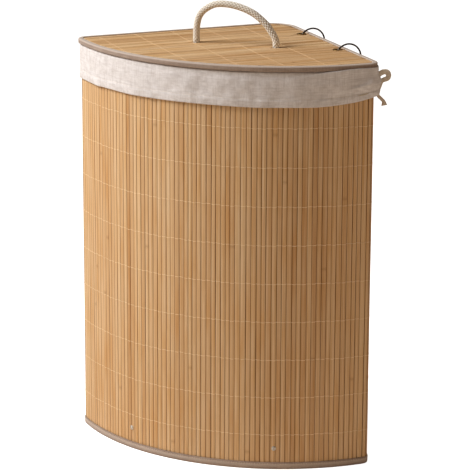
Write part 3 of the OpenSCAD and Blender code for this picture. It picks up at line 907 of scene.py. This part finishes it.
def make_tapes():
    """The lid's edge tape and the mat's base tape, each a closed section, with their stitches."""
    t, b, middle = LID_TOP, LID_BASE, (LID_TOP + LID_BASE) / 2
    section = [(8, t, -0.9), (8, t, -0.15), (5, t, -0.02), (2, t, 0), (0.8, t, -0.25), (0.15, t, -1.1),
               (0, t, -2.4), (0.1, middle, 0), (0, b, 2.2), (0.3, b, 0.9), (1, b, 0.2), (2.2, b, 0),
               (5, b, 0), (8, b, 0.1), (8, b, 0.9), (5, b, 0.9), (2.2, b, 0.9), (1.2, b, 1.6),
               (1, middle, 0), (1.2, t, -1.6), (2.2, t, -0.9), (5, t, -0.9)]
    off = [LID_OVER / MM - inset for inset, _, _ in section]
    z = [start + up * MM for _, start, up in section]
    # The top flange gets a painted highlight.
    edge = tape("lid_edge_tape", off, z, 0.12 * MM, 3, (t - 1.2 * MM, t + MM))
    dress(edge, TAPE, "lid", ["lid_binding"])
    stitches("lid_edge_stitches", LID_OVER - 6.6 * MM, LID_TOP + 0.1 * MM, (0, 0.5 * MM), "lid")
    top = high("base_binding").z
    off = [0.55, 1.0, 1.3, 1.35, 1.2, 1.35, 1.3, 0.6, -0.8, -3.2, -6, -7.2, -7.7, -7.7, -6.9, -6.9, -6.4,
           -3.2, -0.4, 0.4, 0.5]
    z = np.array([12, 12, 11.4, 9.4, 8.6, 7.6, 2.2, 0.5, 0.05, 0, 0.05, 0.5, 1.8, 12, 12, 2, 1, 0.85,
                  1, 2, 8])
    # A lighter band along the tape's middle.
    edge = tape("base_edge_tape", off, z * top / 12, 0.1 * MM, 4, (top * 0.6, top * 0.74))
    dress(edge, TAPE, "hamper_body", ["base_binding"])
    stitches("base_edge_stitches", 1.42 * MM, top - 2.6 * MM, (0.5 * MM, 0), "hamper_body")


make_tapes()


# ---- Cotton liner ----

LINER_OFF = -8.5 * MM


def thicken(cloth):
    modify(cloth, "SUBSURF", levels=1, render_levels=1)
    modify(cloth, "SOLIDIFY", thickness=0.5 * MM, offset=0.0)


def cuff_profile():
    """Offsets and heights from inside the rim, over it, down and round the casing; the skirt's first row
    and the casing's."""
    top = RIM_Z - 4 * MM
    over = [(off, RIM_Z - down * MM) for off, down in (
        (-8.4, 14), (-8.4, 9), (-8.3, 4.5), (-7.9, 1.5), (-6.8, 0.45), (-4, 0.3), (-1, 0.3), (1.1, 0.4),
        (2.1, 1.4), (2.35, 4))]
    skirt = [(2.35 + 0.25 * t, top + t * (HEM_TOP + 2 * MM - top)) for t in np.linspace(0.08, 0.94, 13)]
    outer = [(off, HEM_TOP + up * MM) for off, up in (
        (2.6, 1.6), (2.7, 0.4), (3.3, -1.2), (3.7, -3), (3.9, -5.5), (3.9, -8))]
    under = [(off, HEM_Z + up * MM) for off, up in (
        (3.8, 2.2), (3.4, 0.5), (2.9, 0.3), (2.3, 1.6), (2.15, 6))]
    casing = outer + under + [(2.2, HEM_TOP - 1 * MM)]
    parts = np.array(over + skirt + casing)
    return parts[:, 0] * MM, parts[:, 1], len(over), len(over) + len(skirt)


def make_drawstring_band():
    """The drawstring inside its casing, drawn up with it at the bow."""
    s = around(500)
    off = np.array([2.8, 3.6, 3.6, 2.8]) * MM
    middle = (HEM_Z + HEM_TOP) / 2
    z = middle + np.array([-1, -1, 1, 1]) * 2.9 * MM
    rise = (hem_lift(s) + 0.2 * MM * np.sin(s / (9 * MM)))[:, None]
    push = cuff_bulge(s)[:, None]
    band = grid("drawstring_band", swept(s, off[None, :] + push, z[None, :] + rise), True, True)
    spread(band, "uvw", triples(np.linspace(0, 1, 4)[None, :], s[:, None]))
    dress(band, CORD, "hamper_body", ["drawstring"])


def cuff_bulge(s):
    """How far the gathered cloth stands off the wall round the tip beside the bow."""
    return 6.0 * MM * nearness(s, STARTS[1] + 16 * MM, 36 * MM)


def lid_puff(s):
    """Where the loose cuff swells out past the lid's edge and up beside it."""
    rise = np.clip((s - 400 * MM) / (110 * MM), 0, 1)
    fall = np.clip((STARTS[2] + 34 * MM - s) / (30 * MM), 0, 1)
    return rise * rise * (3 - 2 * rise) * fall * fall * (3 - 2 * fall)


def make_cuff():
    """The cuff as one cloth: a bellied skirt with folds and tucks, and the casing that the bow draws up."""
    s = around(480)
    off, z, first, hem = cuff_profile()
    row = np.arange(len(z))
    free = np.clip((row - first + 1) / 3, 0, 1) * (row <= hem + 7)
    drop = np.clip((RIM_Z - z) / (RIM_Z - HEM_Z), 0, 1)
    gather = nearness(s, BOW_S, 60 * MM)[:, None]
    front = nearness(s, STARTS[1] * 0.8, 300 * MM)[:, None]
    u, v = s[:, None], z[None, :]
    belly = np.sin(math.pi * np.clip(drop * 1.1, 0, 1)) ** 0.8
    shape = (0.8 + 1.3 * front) * MM * belly[None, :]
    soft = waves(u, v, 21, 14, (0.05, 0.2), 0.85 * MM, (0.0, 0.9))
    creases = waves(u, v * 1.6, 22, 24, (0.016, 0.06), 0.62 * MM, (-0.7, 0.9))
    dx, dz = u - BOW_S, v - (HEM_Z + 6 * MM)
    fan = np.sin(13 * np.arctan2(dz, dx)) * np.exp(-np.hypot(dx, dz) / (46 * MM)) * 0.9 * MM
    tucks = waves(u, 0 * v, 23, 12, (0.008, 0.03), 0.34 * MM, (0, 0.01))
    tucks = tucks * (0.6 + 2.0 * gather) * (drop ** 2)[None, :]
    total = shape + (soft + creases) * (0.4 + 0.6 * drop)[None, :] + fan * gather + tucks
    push = cuff_bulge(s)[:, None] * np.clip(drop * 2.2, 0, 1)[None, :]
    off2 = off[None, :] + free[None, :] * np.clip(total, -0.3 * MM, 4 * MM) + push * (row >= first)[None, :]
    sag = waves(u, 0 * v, 24, 6, (0.05, 0.4), 0.7 * MM, (0, 0.01)) * (drop ** 2)[None, :]
    z2 = z[None, :] + (sag + hem_lift(s)[:, None] * (drop ** 1.5)[None, :]) * (row >= first)[None, :]
    puff = lid_puff(s)[:, None]
    swell = ((5.7, RIM_Z - 0.8 * MM), (6.1, LID_BASE + 2.6 * MM), (6.9, LID_BASE + 3.0 * MM),
             (7.4, LID_BASE + 0.4 * MM), (7.2, RIM_Z - 5.5 * MM))
    for k, (reach, rise) in enumerate(swell, first - 1):
        blend = puff[:, 0] * (1 if k < first + 3 else 0.6)
        off2[:, k] += blend * (reach * MM - off2[:, k])
        z2[:, k] += blend * (rise - z2[:, k])
    for k in range(first + 4, hem):
        off2[:, k] += puff[:, 0] * 3.4 * MM * (1 - (k - first - 3) / (hem - first - 3))
    points = swept(s, off2, z2)
    cuff = grid("liner_cuff_cloth", points)
    run = np.concatenate([[0], np.cumsum(np.hypot(np.diff(off), np.diff(z)))])
    spread(cuff, "uvw", triples(s[:, None], run[None, :]))
    settle(cuff, points, free * (row < hem - 1), off2)
    thicken(cuff)
    drill(cuff, [h + Vector((3 * MM, 0, 0)) for h in WALL_HOLES], (1, 0, 0), 4.6 * MM, 14 * MM)
    dress(cuff, COTTON, "hamper_body", ["liner_cuff", "liner_hem"])
    hem_stitches(points[:, hem + 1], outline(s)[1])


def hem_stitches(row, normal, long=2.2 * MM, gap=1.3 * MM):
    """Short stitches that lie on the seam above the casing."""
    line = np.vstack([row, row[:1]])
    run = travelled(line)
    turn = np.vstack([normal, normal[:1]])
    paths = []
    for a in np.arange(0, run[-1] - long, long + gap):
        t = a + np.array([0, 0.2, 0.8, 1.0]) * long
        n = np.stack([np.interp(t, run, turn[:, k]) for k in range(2)] + [0 * t], -1)
        pts = np.stack([np.interp(t, run, line[:, k]) for k in range(3)], -1)
        pts = pts + n * (np.array([0.05, 0.38, 0.38, 0.05]) * MM)[:, None]
        paths.append((pts, n))
    dress(tubes("cuff_stitches", paths, False, 0.2 * MM, 5), STITCH, "hamper_body")


MOST_SHIFT, LEAST_OFF, MAY_SINK = 2.6 * MM, 2.3 * MM, 0.5 * MM
WALL_FROM = 0.55


def settle(obj, points, loose, off):
    """Lets the skirt buckle between the rim and the casing, with cloth a little longer than the gap.
    No point moves past MOST_SHIFT, sinks past MAY_SINK or comes nearer the mat than LEAST_OFF."""
    scene = bpy.context.scene
    group = obj.vertex_groups.new(name="held")
    nu, nv = points.shape[:2]
    for j in range(nv):
        group.add([i * nv + j for i in range(nu)], float(1 - 0.97 * loose[j]), "REPLACE")
    heights = np.array([RIM_Z - 1 * MM, WALL_FROM])
    wall = grid("settle_wall", swept(around(420), np.array([0.8, 0.8]) * MM, heights))
    wall.modifiers.new("Collision", "COLLISION")
    wall.collision.thickness_outer = 0.0006
    cloth = obj.modifiers.new("Cloth", "CLOTH")
    cloth.settings.vertex_group_mass = "held"
    cloth.settings.quality = 5
    cloth.settings.mass = 0.12
    cloth.settings.tension_stiffness = cloth.settings.compression_stiffness = 20
    cloth.settings.bending_stiffness = 0.25
    cloth.settings.shrink_min = -0.035
    cloth.settings.effector_weights.gravity = 0.3
    cloth.collision_settings.distance_min = 0.0006
    for f in range(1, 19):
        scene.frame_set(f)
    made = obj.evaluated_get(bpy.context.evaluated_depsgraph_get()).to_mesh()
    moved = np.zeros(len(made.vertices) * 3)
    made.vertices.foreach_get("co", moved)
    rest = points.reshape(-1, 3)
    shift = moved.reshape(-1, 3) - rest
    size = np.linalg.norm(shift, axis=1)[:, None]
    shift *= np.minimum(1, MOST_SHIFT / np.maximum(size, 1e-9)) * np.tile(loose, nu)[:, None]
    normal = np.repeat(level(outline(around(nu))[1]), nv, axis=0)
    least = np.maximum(LEAST_OFF - off.ravel(), -MAY_SINK)
    back_out = np.clip(least - (shift * normal).sum(axis=1), 0, None) * (np.tile(loose, nu) > 0)
    shift += normal * back_out[:, None]
    obj.modifiers.clear()
    obj.vertex_groups.clear()
    obj.data.vertices.foreach_set("co", (rest + shift).ravel())
    obj.data.update()
    bpy.data.objects.remove(wall)
    scene.frame_set(1)


def make_liner():
    """The liner's sides, hanging a little loose inside the wall, and its bottom."""
    floor_z = low("liner_bottom").z
    s = around(300)
    t = np.linspace(0, 1, 60)
    z = floor_z + 0.6 * MM + t * (RIM_Z - 12 * MM - floor_z)
    u, v = s[:, None], z[None, :]
    loose = np.sin(math.pi * np.clip(t * 1.02, 0, 1)) ** 0.6
    folds = waves(u, v * 0.12, 31, 16, (0.03, 0.16), 1.6 * MM, (-0.25, 0.25))
    folds = folds + waves(u, v, 32, 14, (0.02, 0.08), 0.5 * MM)
    inward = np.clip(2.6 * MM + folds, 0.2 * MM, 9 * MM) * loose[None, :]
    sides = grid("liner_sides_cloth", swept(s, LINER_OFF - 0.4 * MM - inward, z[None, :]))
    spread(sides, "uvw", triples(u, v))
    thicken(sides)
    drill(sides, [h - Vector((8 * MM, 0, 0)) for h in WALL_HOLES], (1, 0, 0), 6.2 * MM)
    dress(sides, COTTON, "hamper_body", ["liner_sides"])
    bottom = disc("liner_bottom_cloth", LINER_OFF - 1 * MM, floor_z + 0.5 * MM, 41, 1.3 * MM)
    dress(bottom, COTTON, "hamper_body", ["liner_bottom"])
    declare_disc()


def disc(name, off, z, seed, ripple, facing=1):
    """A cloth cut to the plan, with soft ripples that fade at its edge."""
    p, n = outline(around(320))
    edge = p + n * off
    centre = edge.mean(axis=0)
    t = np.linspace(0.004, 1, 44)
    xy = centre + t[None, :, None] * (edge - centre)[:, None, :]
    fade = np.clip((1 - t) * 7, 0, 1)[None, :]
    bump = waves(xy[..., 0], xy[..., 1], seed, 26, (0.03, 0.2), ripple) * fade
    h = z + facing * np.clip(bump, -0.3 * ripple, 3 * ripple)
    obj = grid(name, np.concatenate([xy, h[..., None]], -1))
    spread(obj, "uvw", np.concatenate([xy, 0 * h[..., None]], -1).reshape(-1, 3))
    modify(obj, "SOLIDIFY", thickness=0.45 * MM, offset=0.0)
    return obj


def declare_disc():
    """Works out the plan's outline and keeps nothing of it."""
    p, n = outline(around(2000))


def make_lining():
    z = low("lid_lining").z
    lining = disc("lid_lining_cloth", LID_OVER - 1.4 * MM, z + 0.35 * MM, 51, 0.45 * MM, -1)
    drill(lining, LID_HOLES + [Vector(h) for h in HANDLE_HOLES], (0, 0, 1), 5.3 * MM, 30 * MM)
    dress(lining, COTTON, "lid", ["lid_lining"])
    declare_disc()


make_drawstring_band()
make_cuff()
make_liner()
make_lining()


# ---- Metal trim and knots ----

def make_eyelets():
    r, t = 4.5 * MM, 0.8 * MM

    def rolled(grip, flange):
        """Section of a rolled eyelet, from its inner flange to its outer one."""
        roll = 0.75 * MM
        half = [(r, roll * 0.6), (r + 0.5 * MM, roll), (flange - 0.6 * MM, roll * 0.9),
                (flange, roll * 0.4), (flange - 0.3 * MM, 0.05 * MM), (r + t, 0)]
        return [(x, -h) for x, h in half] + [(x, grip + h) for x, h in reversed(half)]

    base = low("lid_eyelets").z + 0.6 * MM
    grip = high("lid_eyelets").z - 0.6 * MM - base
    places = [((EYELET_X, y, base), (0, 0, 1)) for y in RING_Y]
    dress(lathe("lid_eyelets_rolled", rolled(grip, 8 * MM), places), BRASS, "lid",
          ["lid_eyelets"])
    base = low("wall_eyelets").x + 0.6 * MM
    grip = high("wall_eyelets").x - 0.6 * MM - base
    places = [((base, y, EYELET_Z), (1, 0, 0)) for y in RING_Y]
    dress(lathe("wall_eyelets_rolled", rolled(grip, 7.5 * MM), places), BRASS, "hamper_body",
          ["wall_eyelets"])


def make_rivets():
    """Low domed heads with a small dimple outside, and the spread tails inside."""
    z = (low("base_rivets").z + high("base_rivets").z) / 2
    places = []
    for a in (225 - 21, 225 + 21):
        n = Vector((math.cos(math.radians(a)), math.sin(math.radians(a)), 0))
        places.append((n * FRONT_R + Vector((0, 0, z)), n))
    places += [(Vector((TIP_R, -TIP_X / 2, z)), Vector((1, 0, 0))),
               (Vector((-TIP_X / 2, TIP_R, z)), Vector((0, 1, 0)))]
    head = [(0.3, 0.9), (0.9, 0.95), (1.3, 1.45), (2.2, 1.4), (3.2, 0.95), (3.8, 0.3), (3.75, 0.08),
            (1.9, 0.06), (1.9, -5), (3.0, -5.05), (3.1, -5.5), (2.2, -6.0), (0.8, -6.1), (0.3, -5.8)]
    dress(lathe("base_rivets_domed", np.array(head) * MM, places, 28), RIVET, "hamper_body",
          ["base_rivets"])


def make_stopper_knots():
    """An overhand knot with a short cut end, under each of the handle's holes."""
    paths = []
    for hole in HANDLE_HOLES:
        t = np.linspace(0, 1, 90)
        turn = t * TAU * 1.55
        wide = 5.6 * MM * np.sin(math.pi * t) ** 0.35
        tail_z = low("handle_knots").z + 0.3 * MM
        heights = [LID_BASE - 1 * MM, LID_BASE - 4.6 * MM, LID_BASE - 11 * MM, tail_z]
        z = np.interp(t, [0, 0.12, 0.9, 1], heights)
        paths.append(np.stack([hole[0] + wide * np.cos(turn), hole[1] + wide * np.sin(turn), z], -1))
    parts = [tube(f"stopper_{i}", even(p, 0.8 * MM)[0], (1, 0.2, 0), braid_knot, 40)
             for i, p in enumerate(paths)]
    for obj in parts:
        dress(obj, ROPE, "lid")
    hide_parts("handle_knots")


def braid_knot(ang, dist):
    return braid(ang, dist, 6, 26 * MM, 4.9 * MM)


make_eyelets()
make_rivets()
make_stopper_knots()


# ---- Carried-over CAD nodes ----

KEPT = ((BACKING, ["wall_backing_" + panel for panel in ("front", "left", "right", "corner")]),
        (TAPE, ("seam_tape", "rim_binding")), (STEEL, ("rim_hoop", "base_hoop", "base_brackets")),
        (BOARD, ("base_board", "lid_board")), (RING, ("hinge_ring_back", "hinge_ring_front")))
for material, nodes in KEPT:
    for node in nodes:
        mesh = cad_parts[node].data
        mesh.materials.clear()
        mesh.materials.append(material)


# ---- Studio ----

MIDDLE = Vector((-0.15, -0.15, 0.35))
LAMPS = (("key", (-2.21, 0.68, 2.22), 1.3, 110, (1, 1, 1)),
         ("fill", (1.8, -2.7, 1.3), 2.2, 12, (1, 0.8, 0.64)))
WARM_AIR, WHITE = (0.15, 0.115, 0.088, 1), (1, 1, 1, 1)


def studio():
    """Floor and background that look white while they give the hamper a warmer, dimmer light; two lamps."""
    mesh = bpy.data.meshes.new("floor")
    bm = bmesh.new()
    bmesh.ops.create_grid(bm, x_segments=1, y_segments=1, size=8)
    bm.to_mesh(mesh)
    bm.free()
    floor = add_object("floor", mesh)
    pale = Paint("pale_floor", 0.9, Specular_IOR_Level=0.1)
    seen = pale.node("ShaderNodeLightPath")
    pale.colour(pale.mix(seen, srgb(244, 230, 212), srgb(246, 246, 245)))
    pale.put(pale.shader.inputs["Emission Color"], WHITE)
    pale.put(pale.shader.inputs["Emission Strength"], pale.maths("MULTIPLY", seen, 0.93))
    floor.data.materials.append(pale.mat)
    world = bpy.data.worlds.new("studio")
    bpy.context.scene.world = world
    world.use_nodes = True
    tree = world.node_tree
    seen = tree.nodes.new("ShaderNodeLightPath")
    tint = tree.nodes.new("ShaderNodeMix")
    tint.data_type = "RGBA"
    tint.inputs[6].default_value, tint.inputs[7].default_value = WARM_AIR, WHITE
    tree.links.new(seen.outputs["Is Camera Ray"], tint.inputs[0])
    tree.links.new(tint.outputs[2], tree.nodes["Background"].inputs[0])
    for name, away, size, power, colour in LAMPS:
        data = bpy.data.lights.new(name, "AREA")
        data.size, data.energy, data.color = size, power, colour
        aim(add_object(name, data), MIDDLE + Vector(away), MIDDLE)


studio()
bpy.context.scene.view_settings.view_transform = "Standard"
